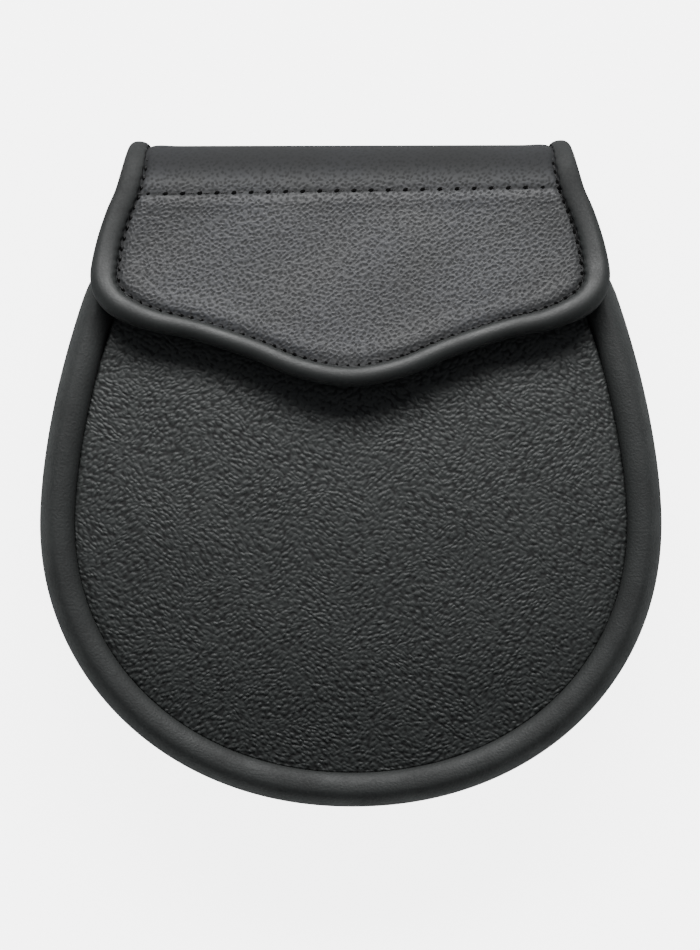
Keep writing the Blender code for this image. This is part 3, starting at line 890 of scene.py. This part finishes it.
def binding_frames(edge):
    """Centre, outward direction and surface normal at each point of the flap's bound edge."""
    centre = flap_point(edge[:, 0], edge[:, 1])
    nudge = 0.1 * MM
    across = flap_point(edge[:, 0] + nudge, edge[:, 1]) - centre
    along = flap_point(edge[:, 0], edge[:, 1] + nudge) - centre
    normal = unit(np.cross(along, across))
    outward = unit(np.cross(normal, np.gradient(centre, axis=0)))
    return centre, outward, normal


def even_edge(pitch, per_pitch):
    """The flap's bound edge at even steps, so many to a stitch."""
    edge = bound_edge()
    centre = flap_point(edge[:, 0], edge[:, 1])
    whole = lengths(centre)[-1]
    steps = int(round(whole / pitch)) * per_pitch
    return points_at(centre, np.linspace(0.0, whole, steps + 1), edge)


def binding_reach(y):
    """How far the binding laps over the flap from its centre line, as a share of its radius."""
    up_the_side = 0.30 * smoothstep((y - 46.0 * MM) / (14.0 * MM))
    over_the_side = smoothstep((y - 54.0 * MM) / (6.0 * MM)) * smoothstep((94.0 * MM - y) / (6.0 * MM))
    return BINDING_LAP + up_the_side + 0.20 * over_the_side


def squared(values):
    """Sines or cosines raised a little, so that a round section becomes squarer."""
    return np.sign(values) * np.abs(values) ** BINDING_SQUARENESS


def build_binding(materials):
    """The folded strip round the edge, flat on top and pinched a little by every stitch."""
    edge = even_edge(EDGE_PITCH, BINDING_PER_STITCH)
    slot = FLAP_THICKNESS / 2 + GAP * 0.5
    rows = []
    for step, (middle, out, up) in enumerate(zip(*binding_frames(edge))):
        radius = edge[step, 2]
        pinch = 0.5 + 0.5 * math.cos(2.0 * math.pi * step / BINDING_PER_STITCH)
        lip = math.asin(slot / radius)
        angles = np.linspace(lip - math.pi, math.pi - lip, BINDING_SIDES + 1)
        near_lip = smoothstep((np.abs(angles) - LIP_START) / (math.pi - lip - LIP_START))
        x, z = squared(np.cos(angles)), squared(np.sin(angles))
        reach = np.where(x < 0.0, float(binding_reach(middle[1])), 1.0) - STITCH_PINCH * pinch * near_lip
        height = BINDING_HEIGHT - np.where((z > 0.0) & (x < 0.0), BINDING_FLATTENED * np.abs(x), 0.0)
        ring = [middle + out * a + up * b for a, b in zip(radius * x * reach, radius * z * height)]
        ring += [middle + out * GAP + up * slot, middle + out * GAP - up * slot]
        rows.append(ring)
    return tube("flap_binding_leather", np.array(rows), materials)


def nearest_on(path, grid):
    """For each point of a grid, how far the path is from it and where along the path that is."""
    flat = grid.reshape(-1, 3)
    away, found = [], []
    for part in np.array_split(flat, 60):
        apart = np.linalg.norm(path[None] - part[:, None], axis=2)
        away.append(apart.min(axis=1))
        found.append(apart.argmin(axis=1))
    shape = grid.shape[:2]
    return np.concatenate(away).reshape(shape), np.concatenate(found).reshape(shape)


def build_flap(materials):
    """The pebbled flap, drawn down along its sewn lines, with painted shade stored along them for its
    material.
    """
    pattern = flap_pattern()
    middle = flap_point(pattern[..., 0], pattern[..., 1])
    edge = bound_edge()[::2]
    path = flap_point(edge[:, 0], edge[:, 1])
    away, nearest = nearest_on(path, middle)
    from_lip = away - edge[nearest, 2] * binding_reach(path[nearest, 1])
    row = pattern[..., 1] - fold_row(pattern[..., 0])
    ditch = bell(from_lip - EDGE_DITCH_AWAY, EDGE_DITCH_WIDTH)
    sunk = EDGE_DITCH_DEPTH * ditch + ROW_DITCH_DEPTH * bell(row, ROW_DITCH_WIDTH)
    puffed = EDGE_PUFF * bell(from_lip - PUFF_AWAY, EDGE_PUFF_WIDTH)
    puffed = puffed + ROW_PUFF * bell(np.abs(row) - PUFF_AWAY, ROW_PUFF_WIDTH)
    x, y = middle[..., 0], middle[..., 1]
    inside = smoothstep((away - SWELL_INSET) / SWELL_FADE) * smoothstep((FLAP_FRONT_Y - y) / SWELL_FADE)
    height, size, seed = FLAP_SWELL
    swell = height * ripple(x, y, size, seed) * inside
    swell = swell + FOLD_SWELL * smoothstep((y - FOLD_SWELL_Y) / FOLD_SWELL_FADE)
    normals = -sheet_normals(middle)
    middle = middle + normals * swell[..., None]
    outer = middle + normals * (FLAP_THICKNESS / 2 + puffed - sunk)[..., None]
    inner = middle - normals * FLAP_THICKNESS / 2
    flap = slab("flap_leather", outer[:, ::-1], inner[:, ::-1], materials)

    # Painted shade for the ditches and the sewn row, on the outer face only.
    shade = np.maximum(ditch, ROW_SHADE * bell(row, ROW_SHADE_WIDTH))[:, ::-1].ravel()
    flat = np.zeros((2 * shade.size, 3))
    flat[:, :2] = np.tile(pattern[:, ::-1].reshape(-1, 2), (2, 1))
    add_attribute(flap.data, "painted_seam_shade", "FLOAT", "value", np.concatenate([shade, 0.0 * shade]))
    add_attribute(flap.data, "flat_pattern", "FLOAT_VECTOR", "vector", flat)
    return flap


def build_loop(name, x, materials):
    """One strap loop: a strip with rounded edges that leaves the back panel and returns."""

    def sewn(y):
        return float(back_height(y)) - GAP - LOOP_THICKNESS * 0.98

    low, high = LOOP_LOW, LOOP_HIGH
    line = [
        (low, sewn(low)),
        (low + LOOP_SEWN, sewn(low + LOOP_SEWN)),
        (low + LOOP_SEWN + LOOP_BEND, 0.0),
        (high - LOOP_SEWN - LOOP_BEND, 0.0),
        (high - LOOP_SEWN, sewn(high - LOOP_SEWN)),
        (high, sewn(high)),
    ]
    path = rounded_path(np.array(line), LOOP_ROUNDING, CORNER_STEPS)
    half, radius = LOOP_WIDTH / 2, LOOP_EDGE
    section = []
    for corner_x, corner_n, start in (
        (half - radius, LOOP_THICKNESS - radius, 0.0),
        (radius - half, LOOP_THICKNESS - radius, math.pi / 2),
        (radius - half, radius, math.pi),
        (half - radius, radius, 1.5 * math.pi),
    ):
        section += quarter(corner_x, corner_n, radius, radius, start, ROUND_STEPS)
    rows = []
    for (y, z), (ny, nz) in zip(path, inward_normals(path)):
        rows.append([(x + a, y + ny * b, z + nz * b) for a, b in reversed(section)])
    return tube(name, np.array(rows), materials)


def rounded_path(points, radius, steps):
    """A path of straight runs whose inner corners are rounded over about a radius each way."""
    out = [points[0]]
    for before, corner, after in zip(points, points[1:], points[2:]):
        first = corner + unit(before - corner) * radius
        last = corner + unit(after - corner) * radius
        for t in np.linspace(0.0, 1.0, steps + 1):
            out.append((1.0 - t) ** 2 * first + 2.0 * t * (1.0 - t) * corner + t**2 * last)
    out.append(points[-1])
    return np.array(out)


# The stud's outline from the front panel up to the flap: radius and share of its height
STUD_OUTLINE = (
    (5.4, 0.0), (6.0, 0.06), (6.0, 0.16), (5.2, 0.24), (3.6, 0.30), (3.3, 0.42),
    (3.6, 0.52), (4.6, 0.56), (5.1, 0.64), (5.2, 0.78), (5.2, 0.93), (4.8, 1.0),
)


def build_stud(materials):
    """The turned stud between the front panel and the flap's underside."""
    turn = np.linspace(0.0, 2.0 * math.pi, STUD_SIDES, endpoint=False)
    under_flap = FLAP_THICKNESS / 2 / math.cos(FLAP_SLOPE) + GAP
    rings = []
    for radius, share in STUD_OUTLINE:
        x, y = radius * MM * np.cos(turn), STUD_Y + radius * MM * np.sin(turn)
        low = front_height(x, y) + GAP
        along = np.array([along_at_front(value) for value in y])
        high = flap_point(x, along)[:, 2] - under_flap
        rings.append(np.column_stack([x, y, low + (high - low) * share]))
    return lathe_like("closing_stud", np.array(rings[::-1]), materials)


# Sewing

def sewing_tree(name, material):
    """Geometry Nodes that lay one arched stitch per pitch along a path, standing on its surface."""
    tree = bpy.data.node_groups.new(name, "GeometryNodeTree")
    sockets = [("Geometry", "Geometry")]
    sockets += [(label, "Float") for label in ("Pitch", "Length", "Thread", "Arch", "Slant")]
    for label, kind in sockets + [("Seed", "Int")]:
        tree.interface.new_socket(label, in_out="INPUT", socket_type="NodeSocket" + kind)
    tree.interface.new_socket("Geometry", in_out="OUTPUT", socket_type="NodeSocketGeometry")
    group = tree.nodes.new("NodeGroupInput")
    path, pitch, length, thread, arch, slant, seed = (Wire(tree, out) for out in group.outputs[:7])
    add = path.node

    curve = add("GeometryNodeMeshToCurve", {}, {"Mesh": path})
    even = add("GeometryNodeResampleCurve", {"mode": "LENGTH"}, {"Curve": curve, "Length": pitch})
    dip = thread * -0.9
    ends = {
        "Start": add("ShaderNodeCombineXYZ", {}, {"X": length * -0.5, "Z": dip}),
        "Middle": add("ShaderNodeCombineXYZ", {}, {"Z": arch}),
        "End": add("ShaderNodeCombineXYZ", {}, {"X": length * 0.5, "Z": dip}),
    }
    line = add("GeometryNodeCurveQuadraticBezier", {}, {"Resolution": STITCH_STEPS, **ends})
    inputs = {"Resolution": STITCH_SIDES, "Radius": thread * 0.5}
    section = add("GeometryNodeCurvePrimitiveCircle", {}, inputs)
    inputs = {"Curve": line, "Profile Curve": section, "Fill Caps": True}
    stitch = add("GeometryNodeCurveToMesh", {}, inputs)

    tangent = add("GeometryNodeInputTangent")
    upward = add("GeometryNodeInputNamedAttribute", {"data_type": "FLOAT_VECTOR"}, {"Name": "up"})
    lined = add("FunctionNodeAlignRotationToVector", {"axis": "X"}, {"Vector": tangent})
    settings = {"axis": "Z", "pivot_axis": "X"}
    stood = add("FunctionNodeAlignRotationToVector", settings, {"Rotation": lined, "Vector": upward})
    inputs = {"Seed": seed, 2: slant - STITCH_WOBBLE, 3: slant + STITCH_WOBBLE}
    wobble = add("FunctionNodeRandomValue", {}, inputs, 1)
    spin = add("ShaderNodeCombineXYZ", {}, {"Z": wobble})
    inputs = {"Rotation": stood, "Rotate By": spin}
    turned = add("FunctionNodeRotateRotation", {"rotation_space": "LOCAL"}, inputs)

    inputs = {"Points": even, "Instance": stitch, "Rotation": turned}
    laid = add("GeometryNodeInstanceOnPoints", {}, inputs)
    smooth = add("GeometryNodeSetShadeSmooth", {}, {0: laid})
    real = add("GeometryNodeRealizeInstances", {}, {0: smooth})
    finished = add("GeometryNodeSetMaterial", {}, {"Geometry": real, "Material": material})
    plug(finished, tree.nodes.new("NodeGroupOutput"), "Geometry")
    return tree


def sew(name, tree, paths, pitch, shape, slant):
    """Runs the sewing tree along paths of (point, up) rows, and returns the plain mesh.

    The shape is a stitch's length, the width of its thread and its arch, in millimetres.
    """
    points, ups, edges = [], [], []
    for path, up in paths:
        start = len(points)
        points += list(path)
        ups += list(up)
        edges += [(start + i, start + i + 1) for i in range(len(path) - 1)]
    guide_mesh = bpy.data.meshes.new(name + "_guide")
    guide_mesh.from_pydata([tuple(p) for p in points], edges, [])
    add_attribute(guide_mesh, "up", "FLOAT_VECTOR", "vector", ups)
    guide = bpy.data.objects.new(name + "_guide", guide_mesh)
    bpy.context.scene.collection.objects.link(guide)
    modifier = guide.modifiers.new("sewing", "NODES")
    modifier.node_group = tree
    length, thread, arch = (size * MM for size in shape)
    values = {"Pitch": pitch, "Length": length, "Thread": thread, "Arch": arch}
    values.update({"Slant": slant, "Seed": SEWING_SEED})
    for item in tree.interface.items_tree:
        if item.in_out == "INPUT" and item.name in values:
            modifier[item.identifier] = values[item.name]
    graph = bpy.context.evaluated_depsgraph_get()
    mesh = bpy.data.meshes.new_from_object(guide.evaluated_get(graph))
    bpy.data.objects.remove(guide)
    mesh.name = name
    piece = bpy.data.objects.new(name, mesh)
    bpy.context.scene.collection.objects.link(piece)
    return piece


def edge_sewing_path():
    """The line in the ditch between the binding and the flap."""
    edge = even_edge(EDGE_PITCH, 4)
    centre, outward, normal = binding_frames(edge)
    reach = (edge[:, 2] * binding_reach(centre[:, 1]) + 0.2 * MM)[:, None]
    return centre - outward * reach + normal * (FLAP_THICKNESS / 2 - 0.42 * MM), normal


def fold_sewing_path():
    """The straight row across the flap below its fold."""
    across = np.linspace(-FOLD_ROW_HALF_WIDTH, FOLD_ROW_HALF_WIDTH, 120)
    line = flap_point(across, fold_row(across))
    up = np.tile((0.0, math.sin(FLAP_SLOPE), math.cos(FLAP_SLOPE)), (len(line), 1))
    return line + up * (FLAP_THICKNESS / 2 - 0.22 * MM), up


def hole_path(path, shift):
    """A sewing path that starts part of a stitch later, for the needle holes between stitches."""
    line, up = path
    spread = np.linspace(shift, lengths(line)[-1], 4 * len(line))
    return points_at(line, spread), unit(points_at(line, spread, up))


def backward(line):
    """A sewing path whose stitches stand out of the pouch's back."""
    return line, np.tile((0.0, 0.0, -1.0), (len(line), 1))


def back_sewing_path():
    """The row round the back panel's sides and bottom."""
    path = silhouette()
    path = path + inward_normals(path) * (BACK_PANEL_INSET + BACK_STITCH_INSET)
    path = points_at(path, np.linspace(6.0 * MM, lengths(path)[-1] - 6.0 * MM, 500))
    return backward(np.column_stack([path, back_height(path[:, 1]) + 0.38 * MM]))


def lap_sewing_path():
    """The row that holds the flap's lap to the back panel."""
    across = np.linspace(-LAP_ROW_HALF_WIDTH, LAP_ROW_HALF_WIDTH, 60)
    z = LOOP_STANDOFF - GAP - FLAP_THICKNESS + 0.08 * MM
    y = np.full_like(across, LAP_END_Y + LAP_ROW_INSET)
    return backward(np.column_stack([across, y, np.full_like(across, z)]))


def loop_sewing_paths():
    """A short box of stitches at each sewn end of the strap loops."""
    paths = []
    for x in (-LOOP_X, LOOP_X):
        for low in (LOOP_LOW + 1.6 * MM, LOOP_HIGH - 5.4 * MM):
            w, h = LOOP_WIDTH / 2 - 2.2 * MM, 3.8 * MM
            corners = [(x + a * w, low + b * h) for a, b in ((-1, 0), (1, 0), (1, 1), (-1, 1), (-1, 0))]
            corners = np.array(corners)
            flat = points_at(corners, np.linspace(0.0, lengths(corners)[-1], 40))
            z = back_height(flat[:, 1]) - GAP - LOOP_THICKNESS + 0.1 * MM
            paths.append(backward(np.column_stack([flat, z])))
    return paths


# Stage, light and camera

PHOTO_HEIGHT = 950
MM_PER_PIXEL = 0.2906 * MM
CAMERA_HEIGHT = 1.2
PHOTO_PLANE = 24.0 * MM
PHOTO_CENTRE_Y = -0.8 * MM
CAMERA_ROLL = math.radians(-0.15)
CAMERA_X = -0.2 * MM
SENSOR_HEIGHT = 36.0
FLOOR_HALF = 4.0
FLOOR_GLOW = 5.0
KEY_PLACE = (0.0, 1.06, 0.83)
KEY_AIM = (0.0, 0.0, 0.03)
KEY_SIZE = (1.3, 0.45)
KEY_POWER = 34.0
SKY_TINT = (0.92, 0.95, 1.0, 1.0)
SKY_BELOW, SKY_ABOVE = 0.15, 0.31


def build_floor():
    material, wires, shader = new_material("pale_floor")
    soft = noise(place(wires), 0.4, 2.0)
    plug(mixed(soft, rgb(0.86), rgb(0.88)), shader, "Base Color")
    plug(mixed(soft, rgb(0.98), rgb(1.0)), shader, "Emission Color")
    shader.inputs["Emission Strength"].default_value = FLOOR_GLOW
    plug(blended(soft, 0.8, 0.85), shader, "Roughness")
    corners = [(x * FLOOR_HALF, y * FLOOR_HALF, 0.0) for x, y in ((-1, -1), (1, -1), (1, 1), (-1, 1))]
    floor = add_piece("pale_floor", corners, [[0, 1, 2, 3]], [material])
    floor.visible_glossy = False
    floor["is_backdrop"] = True


def add_light(name, location, target, size, power):
    data = bpy.data.lights.new(name, "AREA")
    data.shape = "RECTANGLE"
    data.size, data.size_y = size
    data.energy = power
    light = bpy.data.objects.new(name, data)
    bpy.context.scene.collection.objects.link(light)
    light.location = location
    light.rotation_euler = (Vector(target) - Vector(location)).to_track_quat("-Z", "Y").to_euler()
    return light


def build_stage():
    build_floor()
    world = bpy.data.worlds.new("studio")
    world.use_nodes = True
    background = world.node_tree.nodes["Background"]
    background.inputs["Color"].default_value = SKY_TINT
    wires = Wire(world.node_tree)
    towards = wires.node("ShaderNodeTexCoord", output="Generated")
    upward = between(axis(towards, "Y"), -0.7, 0.5)
    plug(blended(upward, SKY_BELOW, SKY_ABOVE), background, "Strength")
    bpy.context.scene.world = world
    add_light("top_key", KEY_PLACE, KEY_AIM, KEY_SIZE, KEY_POWER)

    data = bpy.data.cameras.new("photo_camera")
    data.sensor_fit = "VERTICAL"
    data.sensor_height = SENSOR_HEIGHT
    seen = PHOTO_HEIGHT * MM_PER_PIXEL
    data.lens = SENSOR_HEIGHT * (CAMERA_HEIGHT - PHOTO_PLANE) / seen
    camera = bpy.data.objects.new("photo_camera", data)
    bpy.context.scene.collection.objects.link(camera)
    camera.location = (CAMERA_X, PHOTO_CENTRE_Y, CAMERA_HEIGHT)
    camera.rotation_euler = (0.0, 0.0, CAMERA_ROLL)
    bpy.context.scene.camera = camera


def dress(piece, slot, *nodes):
    """Makes a piece ride on the pouch and stand for CAD nodes, which it hides. The slot is not used."""
    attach(piece, BODY)
    if nodes:
        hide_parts(*nodes)


def build_pouch():
    flesh = flesh_side()
    dress(build_front([front_grain(), flesh]), "front_leather", "front_panel")
    gusset = smooth_leather("gusset_smooth", 0.017, 0.66, 0.15 * MM, warm_edge=True)
    dress(build_gusset([gusset, flesh]), "smooth_leather", "gusset")
    dress(build_flap([flap_grain(), flesh]), "flap_leather", "flap")
    # The binding takes painted shade towards the fold.
    binding = smooth_leather("binding_smooth", 0.015, 0.52, 0.06 * MM, painted_shade_above=True)
    dress(build_binding([binding]), "binding_leather", "flap_binding")
    plain = smooth_leather("back_plain", 0.018, 0.58, 0.07 * MM)
    dress(build_back([plain, flesh]), "back_leather", "back_panel")
    loop = smooth_leather("loop_plain", 0.020, 0.5, 0.05 * MM)
    dress(build_loop("loop_leather_left", -LOOP_X, [loop]), "loop_leather", "strap_loop_left")
    dress(build_loop("loop_leather_right", LOOP_X, [loop]), "loop_leather", "strap_loop_right")
    dress(build_stud([stud_material()]), "stud_metal", "press_stud")

    edge, fold = edge_sewing_path(), fold_sewing_path()
    edge_between, fold_between = hole_path(edge, EDGE_PITCH / 2), hole_path(fold, FOLD_PITCH / 2)
    # Needle holes are small shapes in near-black painted shade, laid between the stitches.
    holes = sewing_tree("needle_holes", painted_hole_shade())
    thread = sewing_tree("sewing", thread_material())
    rows = (
        ("edge_holes", holes, [edge_between], EDGE_PITCH, (1.5, 1.3, 0.75), 0.0, "flap_leather"),
        ("fold_holes", holes, [fold_between], FOLD_PITCH, (2.1, 1.5, 0.85), 0.4, "flap_leather"),
        ("edge_stitches", thread, [edge], EDGE_PITCH, (2.1, 0.62, 0.75), 0.0, "binding_leather"),
        ("fold_stitches", thread, [fold], FOLD_PITCH, (3.9, 0.5, 0.5), 0.06, "flap_leather"),
        ("back_stitches", thread, [back_sewing_path()], BACK_PITCH, (3.3, 0.62, 0.7), 0.1, "back_leather"),
        ("lap_stitches", thread, [lap_sewing_path()], BACK_PITCH, (3.3, 0.62, 0.7), 0.1, "flap_leather"),
        ("loop_stitches", thread, loop_sewing_paths(), LOOP_PITCH, (2.6, 0.62, 0.7), 0.1, "loop_leather"),
    )
    for name, tree, paths, pitch, shape, slant, slot in rows:
        dress(sew(name, tree, paths, pitch, shape, slant), slot)


build_stage()
build_pouch()

boxes = {"cad": CAD_BOX, "visual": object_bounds()}
boxes = {name: [list(corner) for corner in box] for name, box in boxes.items()}
